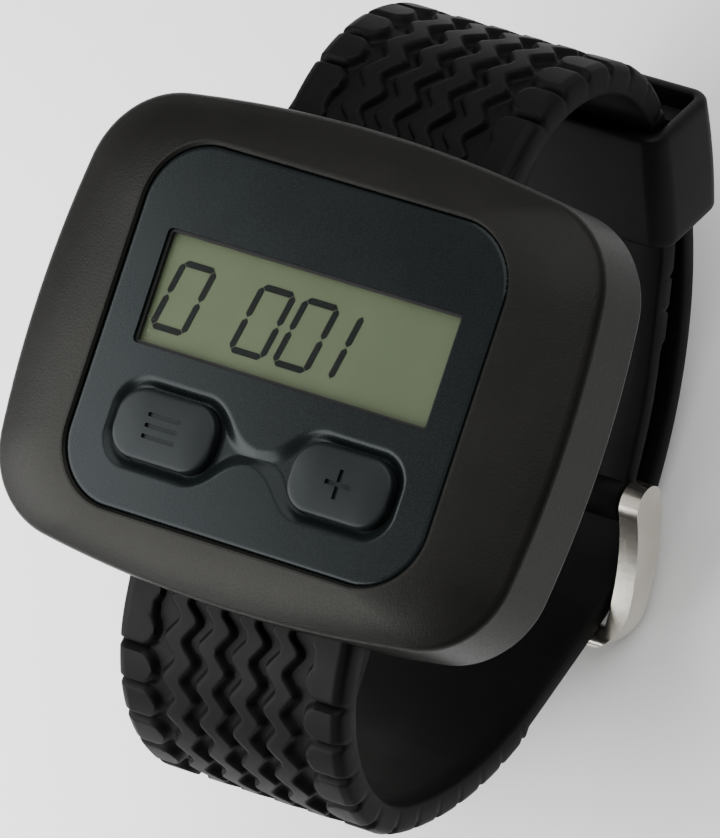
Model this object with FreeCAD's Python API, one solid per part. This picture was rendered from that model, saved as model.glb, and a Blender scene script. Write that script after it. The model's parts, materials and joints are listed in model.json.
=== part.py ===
import FreeCAD, Part
import math
import os

# Wrist-worn digital tally counter. Millimetres, +X right, +Y towards the top of the display,
# +Z out of the face. The origin is the middle of the flat case back, so the face is at z = CASE_DEPTH.

V = FreeCAD.Vector
X_AXIS = V(1, 0, 0)
Y_AXIS = V(0, 1, 0)
Z_AXIS = V(0, 0, 1)

# Case
CASE_DEPTH = 12.8
CASE_HALF_X = 27.95
CASE_HALF_Y = 22.2
SIDE_BULGE = 0.85
END_BULGE = 1.4
CORNER_START_Y = 13.2
CORNER_START_X = 19.3
CORNER_MID = (24.5, 18.3)
RIDGE_DROP = 3.0
# Shares of the way in from the ridge to the panel, each with its share of the way up
RIDGE_SECTIONS = ((0.0, 0.0), (0.012, 0.12), (0.04, 0.21), (0.08, 0.28))
DOME_SECTIONS = ((0.08, 0.28), (0.36, 0.61), (0.68, 0.86), (1.0, 1.0))
SIDE_DROP = 9.8
BELLY_DROP = 11.3
BELLY_INSET = 1.6
CAVITY_HALF_X = 23.2
CAVITY_HALF_Y = 14.9
CAVITY_RADIUS = 4.0
FRONT_WALL_DROP = 2.4
BOSS_X = 20.8
BOSS_Y = 12.4
BOSS_RADIUS = 2.4

# Face panel and display, drops are measured down from the face
PANEL_HALF_X = 18.85
PANEL_HALF_Y = 16.6
PANEL_RADIUS = 6.0
PANEL_TOP_DROP = 0.2
PANEL_BOTTOM_DROP = 1.0
PANEL_GAP = 0.25
BEZEL_LIP = 0.7
LIP_CHAMFER = 0.25
WINDOW_Y = 3.3
WINDOW_HALF_X = 15.6
WINDOW_HALF_Y = 5.35
WINDOW_FRAME = 0.3
WINDOW_DROP = 0.55
LCD_HALF_X = 16.4
LCD_HALF_Y = 6.6
LCD_DROP = 1.07
LCD_LEDGE = 0.6
LCD_SHEET = 0.5
LCD_BACK = 0.2
DIGIT_HEIGHT = 6.7
DIGIT_WIDTH = 3.9
DIGIT_SLANT = 0.2
DIGIT_STROKE = 0.6
DIGIT_INK = 0.05
DIGIT_CENTRES = (-12.4, -3.95, 0.7, 3.3)
DIGIT_Y = 2.95
DIGITS = "0001"

# Buttons
BUTTON_X = 9.35
BUTTON_Y = -8.8
BUTTON_HALF_X = 5.2
BUTTON_HALF_Y = 3.2
BUTTON_RADIUS = 2.6
BUTTON_RISE = 0.5
BUTTON_GAP = 0.15
FLANGE_OVERLAP = 0.7
RECESS_HALF_X = 6.0
RECESS_HALF_Y = 4.2
RECESS_RADIUS = 3.1
RECESS_SLOPE = 0.75
RECESS_DEPTH = 0.5
NECK_WIDTH = 1.4
SWITCH_SIZE = 4.5
SWITCH_HEIGHT = 1.3

# Circuit and battery, as heights above the case back
BOARD_TOP = 8.2
BOARD_THICKNESS = 0.8
BOARD_HALF_X = 16.6
BOARD_HALF_Y = 12.6
TRAY_BOTTOM = 3.6
CELL_RADIUS = 10.0
CELL_THICKNESS = 2.5
CELL_X = -4.5
CLIP_THICKNESS = 0.25
CLIP_HALF_X = 2.5
CLIP_HALF_Y = 11.4

# Back cover
COVER_THICKNESS = 1.6
COVER_HALF_X = 25.0
COVER_HALF_Y = 16.5
COVER_RADIUS = 5.0
GASKET_THICKNESS = 0.6

# Strap: each half is a path of (length, turn in degrees) pieces along its wrist side
STRAP_HALF = 12.0
STRAP_BASE = 2.0
TREAD_HEIGHT = 0.9
STRAP_START_Y = 20.0
TOP_START_DROP = 9.1
TOP_HEADING = -17.0
TOP_PATH = [(3.3, 0), (16.0, -67.6), (10.3, -52.5), (9.0, 0), (3.5, -19.2), (9.0, 0), (8.0, -14.0), (4.0, 0)]
TOP_THICK_LENGTH = 50.0
BOTTOM_START_DROP = 8.55
BOTTOM_HEADING = -13.5
BOTTOM_PATH = [(2.9, 0), (16.5, -65.0), (5.0, -28.0), (21.0, -41.2), (10.9, 0), (8.9, -32.3), (1.7, 0),
               (29.7, -42.8), (10.0, 0)]
BOTTOM_TREAD_LENGTH = 44.0
HOLE_RADIUS = 1.1
HOLE_PITCH = 6.0
FIRST_HOLE = 47.5
HOLE_COUNT = 8
PRONG_HOLES = (2, 3)

# Ends of the strap at the case, and the spring bars
LUG_BAR_Y = 19.3
LUG_BAR_DROP = 7.75
LUG_EYE = 2.1
LUG_POCKET_Y = 16.9
LUG_POCKET_DROP = 5.3
LUG_GAP = 0.35
BAR_HALF = 11.9
BAR_RADIUS = 0.75
BAR_BORE = 0.58
BAR_LIP = 0.4
TIP_RADIUS = 0.4
TIP_REACH = 1.0
SHOULDER_RADIUS = 0.52
SHOULDER_LENGTH = 2.5
SPRING_HALF = 6.6

# Buckle
PIVOT_Y = -0.8
PIVOT_DROP = 46.75
PIVOT_RADIUS = 0.9
PIVOT_EYE = 2.0
FAR_BAR_Y = -13.3
FAR_BAR_DROP = 50.75
FAR_BAR_RADIUS = 1.2
BOW_Y = -6.8
BOW_DROP = 50.1
BUCKLE_INNER_HALF = 12.4
BUCKLE_BAR_WIDTH = 2.0
BUCKLE_EYE = 2.1
SIDE_BAR_HALF = 1.75
BUCKLE_OUTER_CORNER = 4.5
BUCKLE_INNER_CORNER = 1.6
BUCKLE_END_MARGIN = 1.25
PRONG_HALF = 1.0
PRONG_THICKNESS = 1.6
PRONG_ANGLE = 206.6
PRONG_REACH = 14.6
PRONG_RING = 1.8

# Keeper
KEEPER_LENGTH = 11.9
KEEPER_WALL = 1.4
KEEPER_DEPTH = 10.1
KEEPER_HALF_WIDTH = 13.9
KEEPER_Y = 28.78
KEEPER_DROP = 35.37
KEEPER_ANGLE = 42.8
KEEPER_RADIUS = 2.2


def save(shape, node):
    shape.exportStep("parts/" + node + ".step")


def height(drop):
    """Height above the case back of a point that lies drop below the face."""
    return CASE_DEPTH - drop


def arc(a, b, c):
    return Part.Arc(V(*a), V(*b), V(*c)).toShape()


def rounded_outline(half_x, half_y, bulge_x, bulge_y, start_y, start_x, mid, z):
    """Closed outline: four bulged sides joined by four corner arcs."""
    edges = []
    for sx, sy in ((1, 1), (-1, 1), (-1, -1), (1, -1)):
        side = (sx * (half_x - bulge_x), sy * start_y, z)
        end = (sx * start_x, sy * (half_y - bulge_y), z)
        corner = (sx * mid[0], sy * mid[1], z)
        if sx * sy > 0:
            edges.append(arc(side, corner, end))
            edges.append(arc(end, (0, sy * half_y, z), (-end[0], end[1], z)))
        else:
            edges.append(arc(end, corner, side))
            edges.append(arc(side, (sx * half_x, 0, z), (side[0], -side[1], z)))
    return Part.Wire(edges)


def case_outline(z, inset=0.0):
    return rounded_outline(CASE_HALF_X - inset, CASE_HALF_Y - inset, SIDE_BULGE, END_BULGE,
                           CORNER_START_Y, CORNER_START_X, (CORNER_MID[0] - 0.7 * inset,
                           CORNER_MID[1] - 0.7 * inset), z)


def dome_outline(share, z):
    """Outline part of the way from the case ridge (0) to the face panel's edge (1)."""
    lip_x = PANEL_HALF_X + BEZEL_LIP
    lip_y = PANEL_HALF_Y + BEZEL_LIP
    radius = PANEL_RADIUS + BEZEL_LIP
    cut = radius * (1 - math.sqrt(0.5))

    def mix(a, b):
        return a + (b - a) * share

    return rounded_outline(mix(CASE_HALF_X, lip_x), mix(CASE_HALF_Y, lip_y), mix(SIDE_BULGE, 0.03),
                           mix(END_BULGE, 0.03), mix(CORNER_START_Y, lip_y - radius),
                           mix(CORNER_START_X, lip_x - radius),
                           (mix(CORNER_MID[0], lip_x - cut), mix(CORNER_MID[1], lip_y - cut)), z)


def plate(half_x, half_y, radius, bottom, top, x=0.0, y=0.0):
    """Rounded rectangular plate between two heights."""
    block = Part.makeBox(2 * half_x, 2 * half_y, top - bottom, V(x - half_x, y - half_y, bottom))
    if radius <= 0:
        return block
    upright = [e for e in block.Edges if abs(e.tangentAt(e.FirstParameter).z) > 0.99]
    return block.makeFillet(radius, upright)


def tapered_plate(half_x, half_y, radius, bottom, top, spread, x=0.0, y=0.0):
    """Rounded plate whose top outline is wider than its bottom one by spread all round."""
    low = plate(half_x, half_y, radius, bottom, top, x, y)
    high = plate(half_x + spread, half_y + spread, radius + spread, bottom, top, x, y)
    low_wire = [f for f in low.Faces if f.normalAt(0, 0).z < -0.9][0].OuterWire
    high_wire = [f for f in high.Faces if f.normalAt(0, 0).z > 0.9][0].OuterWire
    return Part.makeLoft([low_wire, high_wire], True, True)


def disc(radius, bottom, top, x=0.0, y=0.0):
    return Part.makeCylinder(radius, top - bottom, V(x, y, bottom))


def bar_along_x(radius, low_x, high_x, y, z):
    return Part.makeCylinder(radius, high_x - low_x, V(low_x, y, z), X_AXIS)


def fuse(shapes):
    whole = shapes[0]
    for other in shapes[1:]:
        whole = whole.fuse(other)
    return whole.removeSplitter()


def both_buttons(make):
    return [make(-BUTTON_X), make(BUTTON_X)]


def lug_pocket(sign):
    """Space for a strap end, open at the rear and at the end of the case."""
    depth = 8.0
    low_y = LUG_POCKET_Y if sign > 0 else -LUG_POCKET_Y - depth
    half = STRAP_HALF + LUG_GAP
    top = height(LUG_POCKET_DROP)
    return Part.makeBox(2 * half, depth, top + 1, V(-half, low_y, -1))


def front_shell():
    ridge_z = height(RIDGE_DROP)
    side_z = height(SIDE_DROP)
    belly_z = height(BELLY_DROP)
    ridge = Part.makeLoft([dome_outline(f, ridge_z + RIDGE_DROP * h) for f, h in RIDGE_SECTIONS], True)
    dome = Part.makeLoft([dome_outline(f, ridge_z + RIDGE_DROP * h) for f, h in DOME_SECTIONS], True)
    sides = Part.Face(case_outline(side_z)).extrude(V(0, 0, ridge_z - side_z))
    belly = Part.makeLoft([case_outline(side_z), case_outline(0.6 * side_z + 0.4 * belly_z, 0.3),
                           case_outline(belly_z, BELLY_INSET)], True)
    shell = fuse([sides, ridge, dome, belly])
    front_wall = height(FRONT_WALL_DROP)
    cavity = plate(CAVITY_HALF_X, CAVITY_HALF_Y, CAVITY_RADIUS, -1, front_wall)
    for sx in (-1, 1):
        for sy in (-1, 1):
            cavity = cavity.cut(disc(BOSS_RADIUS, -2, front_wall + 1, sx * BOSS_X, sy * BOSS_Y))
    panel_seat = plate(PANEL_HALF_X + PANEL_GAP, PANEL_HALF_Y + PANEL_GAP, PANEL_RADIUS + PANEL_GAP,
                       height(PANEL_BOTTOM_DROP), CASE_DEPTH + 1)
    lip = tapered_plate(PANEL_HALF_X + PANEL_GAP, PANEL_HALF_Y + PANEL_GAP, PANEL_RADIUS + PANEL_GAP,
                        height(LIP_CHAMFER), CASE_DEPTH + 0.01, LIP_CHAMFER)
    display_hole = plate(LCD_HALF_X + 0.6, LCD_HALF_Y + 0.3, 0.5, front_wall - 1, CASE_DEPTH, 0, WINDOW_Y)
    cover_seat = plate(COVER_HALF_X + 0.1, COVER_HALF_Y + 0.1, COVER_RADIUS + 0.1, -1, COVER_THICKNESS)
    cuts = [cavity, panel_seat, lip, display_hole, cover_seat, case_gasket(), lug_pocket(1), lug_pocket(-1)]
    for x in (-BUTTON_X, BUTTON_X):
        well_x = BUTTON_HALF_X + FLANGE_OVERLAP + 0.2
        well_y = BUTTON_HALF_Y + FLANGE_OVERLAP + 0.2
        cuts.append(plate(well_x, well_y, BUTTON_RADIUS + 0.9, front_wall - 1, CASE_DEPTH, x, BUTTON_Y))
    for sign in (-1, 1):
        reach = STRAP_HALF + LUG_GAP + TIP_REACH + 0.15
        cuts.append(bar_along_x(TIP_RADIUS + 0.08, -reach, reach, sign * LUG_BAR_Y, height(LUG_BAR_DROP)))
    for sx in (-1, 1):
        for sy in (-1, 1):
            cuts.append(disc(0.7, -1, 6.6, sx * BOSS_X, sy * BOSS_Y))
    for tool in cuts:
        shell = shell.cut(tool)
    return shell


def button_recess(depth):
    """Goggle-shaped recess: a sloped lobe around each button, joined by a narrow neck."""
    top = height(PANEL_TOP_DROP) + 0.01
    floor = top - 0.01 - depth
    lobes = [tapered_plate(RECESS_HALF_X - RECESS_SLOPE, RECESS_HALF_Y - RECESS_SLOPE,
                           RECESS_RADIUS - RECESS_SLOPE, floor, top, RECESS_SLOPE, x, BUTTON_Y)
             for x in (-BUTTON_X, BUTTON_X)]
    neck = plate(BUTTON_X - RECESS_HALF_X + 2.0, NECK_WIDTH / 2, 0, floor, top, 0, BUTTON_Y)
    return fuse(lobes + [neck])


def face_panel():
    bottom = height(PANEL_BOTTOM_DROP)
    top = height(PANEL_TOP_DROP)
    panel = plate(PANEL_HALF_X, PANEL_HALF_Y, PANEL_RADIUS, bottom, top)
    rim = [e for e in panel.Edges if e.BoundBox.ZMin > top - 0.01]
    panel = panel.makeFillet(0.25, rim)
    panel = panel.cut(plate(WINDOW_HALF_X, WINDOW_HALF_Y, 0.5, bottom - 1, top + 1, 0, WINDOW_Y))
    panel = panel.cut(button_recess(RECESS_DEPTH))
    hole_x = BUTTON_HALF_X + BUTTON_GAP
    hole_y = BUTTON_HALF_Y + BUTTON_GAP
    for x in (-BUTTON_X, BUTTON_X):
        panel = panel.cut(plate(hole_x, hole_y, BUTTON_RADIUS + BUTTON_GAP, bottom - 1, top, x, BUTTON_Y))
    return panel


def window_frame():
    """Dark gasket that holds the pane in the panel's opening."""
    bottom = height(PANEL_BOTTOM_DROP)
    top = height(WINDOW_DROP)
    outer = plate(WINDOW_HALF_X - 0.02, WINDOW_HALF_Y - 0.02, 0.48, bottom, top, 0, WINDOW_Y)
    inner_x = WINDOW_HALF_X - WINDOW_FRAME
    inner_y = WINDOW_HALF_Y - WINDOW_FRAME
    return outer.cut(plate(inner_x, inner_y, 0.2, bottom - 1, top + 1, 0, WINDOW_Y))


def display_window():
    half_x = WINDOW_HALF_X - WINDOW_FRAME - 0.01
    half_y = WINDOW_HALF_Y - WINDOW_FRAME - 0.01
    return plate(half_x, half_y, 0.19, height(PANEL_BOTTOM_DROP), height(WINDOW_DROP + 0.05), 0, WINDOW_Y)


def segment(x, y, length, upright):
    """One display bar with pointed ends, centred on x, y of an unslanted digit."""
    half = length / 2
    s = DIGIT_STROKE / 2
    flat = [(-half, 0), (-half + s, s), (half - s, s), (half, 0), (half - s, -s), (-half + s, -s)]
    points = [(-q, p) for p, q in flat] if upright else flat
    z = height(LCD_DROP)
    placed = [V(x + p + DIGIT_SLANT * (y + q), DIGIT_Y + y + q, z) for p, q in points]
    return Part.Face(Part.makePolygon(placed + placed[:1])).extrude(V(0, 0, DIGIT_INK))


def lcd_segments():
    """Lit bars of the number; letters name the seven bars clockwise from the top."""
    lit = {"0": "abcdef", "1": "bc"}
    w = DIGIT_WIDTH / 2 - DIGIT_STROKE / 2
    h = DIGIT_HEIGHT / 2 - DIGIT_STROKE / 2
    bars = {"a": (0, h, 0), "b": (w, h / 2, 1), "c": (w, -h / 2, 1), "d": (0, -h, 0),
            "e": (-w, -h / 2, 1), "f": (-w, h / 2, 1)}
    solids = []
    for centre, digit in zip(DIGIT_CENTRES, DIGITS):
        for letter in lit[digit]:
            x, y, upright = bars[letter]
            length = (h if upright else 2 * w) - 0.12
            solids.append(segment(centre + x, y, length, upright))
    return Part.makeCompound(solids)


def lcd_sheet(top, thickness, ledge):
    """One layer of the display; the ledge leaves the front glass's contact edge bare."""
    half_y = LCD_HALF_Y - ledge / 2
    return plate(LCD_HALF_X, half_y, 0, top - thickness, top, 0, WINDOW_Y + ledge / 2)


def contact_strip():
    ledge_y = WINDOW_Y - LCD_HALF_Y
    top = height(LCD_DROP) - LCD_SHEET
    return Part.makeBox(28, LCD_LEDGE - 0.15, top - BOARD_TOP, V(-14, ledge_y + 0.05, BOARD_TOP))


def button(x):
    """Domed cap with a flange under the panel and a stem that meets the switch plunger."""
    flange_top = height(PANEL_BOTTOM_DROP) - 0.05
    crown = height(0) + BUTTON_RISE
    cap = plate(BUTTON_HALF_X, BUTTON_HALF_Y, BUTTON_RADIUS, flange_top - 0.3, crown, x, BUTTON_Y)
    rim = [e for e in cap.Edges if e.BoundBox.ZMin > crown - 0.01]
    cap = cap.makeFillet(0.8, rim)
    flange_x = BUTTON_HALF_X + FLANGE_OVERLAP
    flange_y = BUTTON_HALF_Y + FLANGE_OVERLAP
    flange = plate(flange_x, flange_y, BUTTON_RADIUS + 0.7, flange_top - 0.55, flange_top, x, BUTTON_Y)
    stem = disc(1.2, BOARD_TOP + 2.0, flange_top - 0.2, x, BUTTON_Y)
    return fuse([cap, flange, stem])


def switch_body(x):
    half = SWITCH_SIZE / 2
    body = plate(half, half, 0.3, BOARD_TOP, BOARD_TOP + SWITCH_HEIGHT, x, BUTTON_Y)
    return body.cut(disc(0.88, BOARD_TOP + 0.3, BOARD_TOP + 2, x, BUTTON_Y))


def switch_plunger(x):
    return disc(0.8, BOARD_TOP + 1.0, BOARD_TOP + 2.0, x, BUTTON_Y)


def module_frame():
    """Chassis that holds the display above the circuit board."""
    top = height(FRONT_WALL_DROP) - 0.1
    half_x = CAVITY_HALF_X - 0.2
    half_y = CAVITY_HALF_Y - 0.2
    frame = plate(half_x, half_y, CAVITY_RADIUS - 0.2, TRAY_BOTTOM, top)
    notch = BOSS_RADIUS + 0.25
    for sx in (-1, 1):
        for sy in (-1, 1):
            frame = frame.cut(disc(notch, 0, CASE_DEPTH, sx * BOSS_X, sy * BOSS_Y))
    frame = frame.cut(plate(BOARD_HALF_X + 0.2, BOARD_HALF_Y + 0.2, 0.4, 0, BOARD_TOP))
    lcd_floor = height(LCD_DROP) - 2 * LCD_SHEET - LCD_BACK
    seat = plate(LCD_HALF_X, LCD_HALF_Y, 0, top - 0.5, lcd_floor, 0, WINDOW_Y)
    frame = fuse([frame, seat])
    slot_y = WINDOW_Y - LCD_HALF_Y + LCD_LEDGE / 2
    frame = frame.cut(plate(14.1, LCD_LEDGE / 2, 0, BOARD_TOP - 1, CASE_DEPTH, 0, slot_y))
    for x in (-BUTTON_X, BUTTON_X):
        frame = frame.cut(plate(3.2, 3.2, 0.5, BOARD_TOP - 1, CASE_DEPTH, x, BUTTON_Y))
    return frame


def circuit_board():
    board = plate(BOARD_HALF_X, BOARD_HALF_Y, 0.6, BOARD_TOP - BOARD_THICKNESS, BOARD_TOP)
    for x, y in module_screw_places():
        board = board.cut(disc(0.75, 0, CASE_DEPTH, x, y))
    return board


def module_screw_places():
    return ((-14.9, 11.0), (14.9, 11.0), (14.9, -11.0), (-14.9, -11.0))


def controller_chip():
    """Low epoxy dome over the bonded chip."""
    top = BOARD_TOP - BOARD_THICKNESS
    rise = 1.0
    half = 2.8
    radius = (half * half + rise * rise) / (2 * rise)
    ball = Part.makeSphere(radius, V(11.2, 3.0, top - rise + radius))
    return ball.common(Part.makeBox(8, 8, 3, V(7.2, -1.0, top - 3)))


def chip_capacitors():
    top = BOARD_TOP - BOARD_THICKNESS
    places = [V(8.6 + 2.4 * i, -4.6, top - 0.8) for i in range(3)]
    return Part.makeCompound([Part.makeBox(1.6, 0.8, 0.8, place) for place in places])


def battery_tray():
    """Ring under the board with a well for the coin cell and one for the small parts."""
    top = BOARD_TOP - BOARD_THICKNESS
    tray = plate(BOARD_HALF_X, BOARD_HALF_Y, 0.6, TRAY_BOTTOM, top)
    tray = tray.cut(disc(CELL_RADIUS + 0.2, 0, CASE_DEPTH, CELL_X))
    tray = tray.cut(plate(4.2, 7.6, 0.5, TRAY_BOTTOM + 1.0, CASE_DEPTH, 11.4, -0.4))
    tray = tray.cut(plate(CLIP_HALF_X + 0.1, CLIP_HALF_Y + 0.1, 0, 0, CASE_DEPTH, CELL_X))
    for x, y in module_screw_places():
        tray = tray.cut(disc(0.75, 0, CASE_DEPTH, x, y))
        tray = tray.cut(disc(1.35, 0, TRAY_BOTTOM + 0.8, x, y))
    return tray


def module_screws():
    screws = []
    for x, y in module_screw_places():
        head = disc(1.25, TRAY_BOTTOM + 0.1, TRAY_BOTTOM + 0.8, x, y)
        head = head.cut(Part.makeBox(2.0, 0.3, 0.35, V(x - 1.0, y - 0.15, TRAY_BOTTOM + 0.1)))
        screws.append(fuse([head, disc(0.7, TRAY_BOTTOM + 0.8, BOARD_TOP, x, y)]))
    return Part.makeCompound(screws)


def cell_bottom():
    return BOARD_TOP - BOARD_THICKNESS - 1.2 - CELL_THICKNESS


def coin_cell():
    low = cell_bottom()
    can = disc(CELL_RADIUS, low, low + CELL_THICKNESS - 0.3, CELL_X)
    cap = disc(CELL_RADIUS - 1.3, low + CELL_THICKNESS - 0.3, low + CELL_THICKNESS, CELL_X)
    return fuse([can, cap])


def battery_contact():
    """Leaf spring from the board's underside to the cell's cap."""
    top = BOARD_TOP - BOARD_THICKNESS
    t = 0.2
    low = cell_bottom() + CELL_THICKNESS
    foot = Part.makeBox(3.0, 3.0, t, V(CELL_X - 6, -1.5, top - t))
    leg = Part.makeBox(t, 3.0, top - low, V(CELL_X - 3.2, -1.5, low))
    tongue = Part.makeBox(6.0, 3.0, t, V(CELL_X - 3.2, -1.5, low))
    return fuse([foot, leg, tongue])


def battery_clip():
    """Steel strap over the cell's can, with a leg that reaches the board at each end."""
    low = cell_bottom() - CLIP_THICKNESS
    corner = V(CELL_X - CLIP_HALF_X, -CLIP_HALF_Y, low)
    over = Part.makeBox(2 * CLIP_HALF_X, 2 * CLIP_HALF_Y, CLIP_THICKNESS, corner)
    rib = plate(CLIP_HALF_X - 0.8, CLIP_HALF_Y - 3.5, 1.0, low - 0.35, low, CELL_X)
    rise = BOARD_TOP - BOARD_THICKNESS - low
    legs = [Part.makeBox(2 * CLIP_HALF_X, CLIP_THICKNESS, rise, V(CELL_X - CLIP_HALF_X, y, low))
            for y in (-CLIP_HALF_Y, CLIP_HALF_Y - CLIP_THICKNESS)]
    return fuse([over, rib] + legs)


def case_gasket():
    """Flat ring in a groove between the shell and the back cover."""
    top = COVER_THICKNESS + GASKET_THICKNESS
    ring = plate(CAVITY_HALF_X + 1.2, CAVITY_HALF_Y + 1.1, CAVITY_RADIUS + 1.1, COVER_THICKNESS, top)
    return ring.cut(plate(CAVITY_HALF_X + 0.4, CAVITY_HALF_Y + 0.4, CAVITY_RADIUS + 0.4, 0, CASE_DEPTH))


def back_cover():
    cover = plate(COVER_HALF_X, COVER_HALF_Y, COVER_RADIUS, 0, COVER_THICKNESS)
    rim = [e for e in cover.Edges if e.BoundBox.ZMax < 0.01]
    cover = cover.makeFillet(0.4, rim)
    lip = plate(16.0, 14.2, 3.0, COVER_THICKNESS, COVER_THICKNESS + 0.8)
    lip = lip.cut(plate(14.6, 12.8, 2.0, 0, CASE_DEPTH))
    cover = fuse([cover, lip])
    for sx in (-1, 1):
        for sy in (-1, 1):
            cover = cover.cut(disc(1.0, -1, 4, sx * BOSS_X, sy * BOSS_Y))
            cover = cover.cut(disc(1.75, -1, 1.0, sx * BOSS_X, sy * BOSS_Y))
    return cover


def case_screw(x, y):
    head = disc(1.65, 0.1, 1.0, x, y)
    slot = Part.makeBox(2.4, 0.4, 0.45, V(x - 1.2, y - 0.2, 0.1))
    cross = Part.makeBox(0.4, 2.4, 0.45, V(x - 0.2, y - 1.2, 0.1))
    return fuse([head.cut(slot).cut(cross), disc(0.7, 1.0, 6.2, x, y)])


def case_screws():
    return Part.makeCompound([case_screw(sx * BOSS_X, sy * BOSS_Y) for sx in (-1, 1) for sy in (-1, 1)])


def strap_pieces(start_drop, heading, path, side):
    """Points, headings and turns along a strap half; side is +1 above the case and -1 below it."""
    y = STRAP_START_Y
    z = height(start_drop)
    angle = math.radians(heading)
    pieces = []
    for length, turn in path:
        bend = math.radians(turn)
        pieces.append((y, z, angle, length, bend, side))
        if bend:
            radius = length / bend
            y += radius * (math.sin(angle + bend) - math.sin(angle))
            z -= radius * (math.cos(angle + bend) - math.cos(angle))
        else:
            y += length * math.cos(angle)
            z += length * math.sin(angle)
        angle += bend
    return pieces


def strap_point(piece, along, out):
    """Point at a distance along one piece of a strap and out from its wrist side."""
    y, z, angle, length, bend, side = piece
    turned = angle + bend * along / length
    if bend:
        radius = length / bend
        y += radius * (math.sin(turned) - math.sin(angle))
        z -= radius * (math.cos(turned) - math.cos(angle))
    else:
        y += along * math.cos(angle)
        z += along * math.sin(angle)
    return V(0, side * (y - out * math.sin(turned)), z + out * math.cos(turned))


def cut_path(pieces, low, high):
    """The part of a strap path between two distances from its start."""
    kept = []
    done = 0.0
    for piece in pieces:
        y, z, angle, length, bend, side = piece
        first = max(low - done, 0.0)
        last = min(high - done, length)
        if last - first > 1e-6:
            p = strap_point(piece, first, 0)
            kept.append((side * p.y, p.z, angle + bend * first / length, last - first,
                         bend * (last - first) / length, side))
        done += length
    return kept


def side_edges(pieces, out):
    """Edges of a line that runs a fixed distance out from the strap's wrist side."""
    edges = []
    for piece in pieces:
        length = piece[3]
        a = strap_point(piece, 0, out)
        b = strap_point(piece, length, out)
        if piece[4]:
            edges.append(Part.Arc(a, strap_point(piece, length / 2, out), b).toShape())
        else:
            edges.append(Part.LineSegment(a, b).toShape())
    return edges


def band(pieces, low, high, half_width):
    """Solid strap between two distances out from the wrist side."""
    inner = side_edges(pieces, low)
    outer = side_edges(pieces, high)
    start = Part.LineSegment(strap_point(pieces[0], 0, high), strap_point(pieces[0], 0, low)).toShape()
    last = pieces[-1]
    end = Part.LineSegment(strap_point(last, last[3], low), strap_point(last, last[3], high)).toShape()
    wire = Part.Wire(Part.sortEdges(inner + [end] + outer + [start])[0])
    solid = Part.Face(wire).extrude(V(2 * half_width, 0, 0))
    solid.translate(V(-half_width, 0, 0))
    return solid


def lug_end(side, pieces):
    """Thick end of a strap that wraps the spring bar, with a wedge that runs into the strap."""
    y = LUG_BAR_Y
    z = height(LUG_BAR_DROP)
    eye = bar_along_x(LUG_EYE, -STRAP_HALF, STRAP_HALF, side * y, z)
    tip_out = strap_point(pieces[1], 3.0, STRAP_BASE + TREAD_HEIGHT)
    tip_in = strap_point(pieces[1], 3.0, 0.0)
    points = [V(0, side * y, z + LUG_EYE), V(0, tip_out.y, tip_out.z), V(0, tip_in.y, tip_in.z),
              V(0, side * y, z - LUG_EYE)]
    wedge = Part.Face(Part.makePolygon(points + points[:1])).extrude(V(2 * STRAP_HALF, 0, 0))
    wedge.translate(V(-STRAP_HALF, 0, 0))
    bore = bar_along_x(BAR_RADIUS + 0.05, -STRAP_HALF - 1, STRAP_HALF + 1, side * y, z)
    return fuse([eye, wedge]), bore


def pivot_point():
    return PIVOT_Y, height(PIVOT_DROP)


def strap_top():
    """Upper half: thick to past the keeper, then thin down to the eye around the buckle bar."""
    pieces = strap_pieces(TOP_START_DROP, TOP_HEADING, TOP_PATH, 1)
    y, z = pivot_point()
    base = band(pieces, 0, STRAP_BASE, STRAP_HALF)
    tread = band(cut_path(pieces, 0, TOP_THICK_LENGTH), STRAP_BASE, STRAP_BASE + TREAD_HEIGHT, STRAP_HALF)
    lug, lug_bore = lug_end(1, pieces)
    eye = bar_along_x(PIVOT_EYE, -STRAP_HALF, STRAP_HALF, y, z)
    strap = fuse([base, tread, lug, eye]).cut(lug_bore)
    strap = strap.cut(bar_along_x(PIVOT_RADIUS + 0.06, -20, 20, y, z))
    return strap.cut(plate(PRONG_HALF + 0.3, 3.4, 0, z - 5, z + 5, 0, y - 0.6))


def strap_bottom():
    """Lower half: treaded to the bottom turn, then a smooth tail with a row of holes."""
    pieces = strap_pieces(BOTTOM_START_DROP, BOTTOM_HEADING, BOTTOM_PATH, -1)
    base = band(pieces, 0, STRAP_BASE, STRAP_HALF)
    tread = band(cut_path(pieces, 0, BOTTOM_TREAD_LENGTH), STRAP_BASE, STRAP_BASE + TREAD_HEIGHT, STRAP_HALF)
    lug, lug_bore = lug_end(-1, pieces)
    strap = fuse([base, tread, lug]).cut(lug_bore)
    y, z = pivot_point()
    slot_low = FAR_BAR_Y + 2.0
    slot_high = y + 2.4
    half = (slot_high - slot_low) / 2
    strap = strap.cut(plate(PRONG_HALF + 0.3, half, 1.2, z - 8, z - 2.5, 0, slot_low + half))
    for k in range(HOLE_COUNT):
        if k in PRONG_HOLES:
            continue
        last = cut_path(pieces, 0, FIRST_HOLE + k * HOLE_PITCH)[-1]
        p = strap_point(last, last[3], -1)
        q = strap_point(last, last[3], 5)
        strap = strap.cut(Part.makeCylinder(HOLE_RADIUS, 6, p, q - p))
    return strap


def spring_bar_tubes():
    tubes = []
    for side in (1, -1):
        y = side * LUG_BAR_Y
        z = height(LUG_BAR_DROP)
        tube = bar_along_x(BAR_RADIUS, -BAR_HALF, BAR_HALF, y, z)
        tube = tube.cut(bar_along_x(BAR_BORE, BAR_LIP - BAR_HALF, BAR_HALF - BAR_LIP, y, z))
        tubes.append(tube.cut(bar_along_x(TIP_RADIUS + 0.05, -20, 20, y, z)))
    return Part.makeCompound(tubes)


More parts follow.
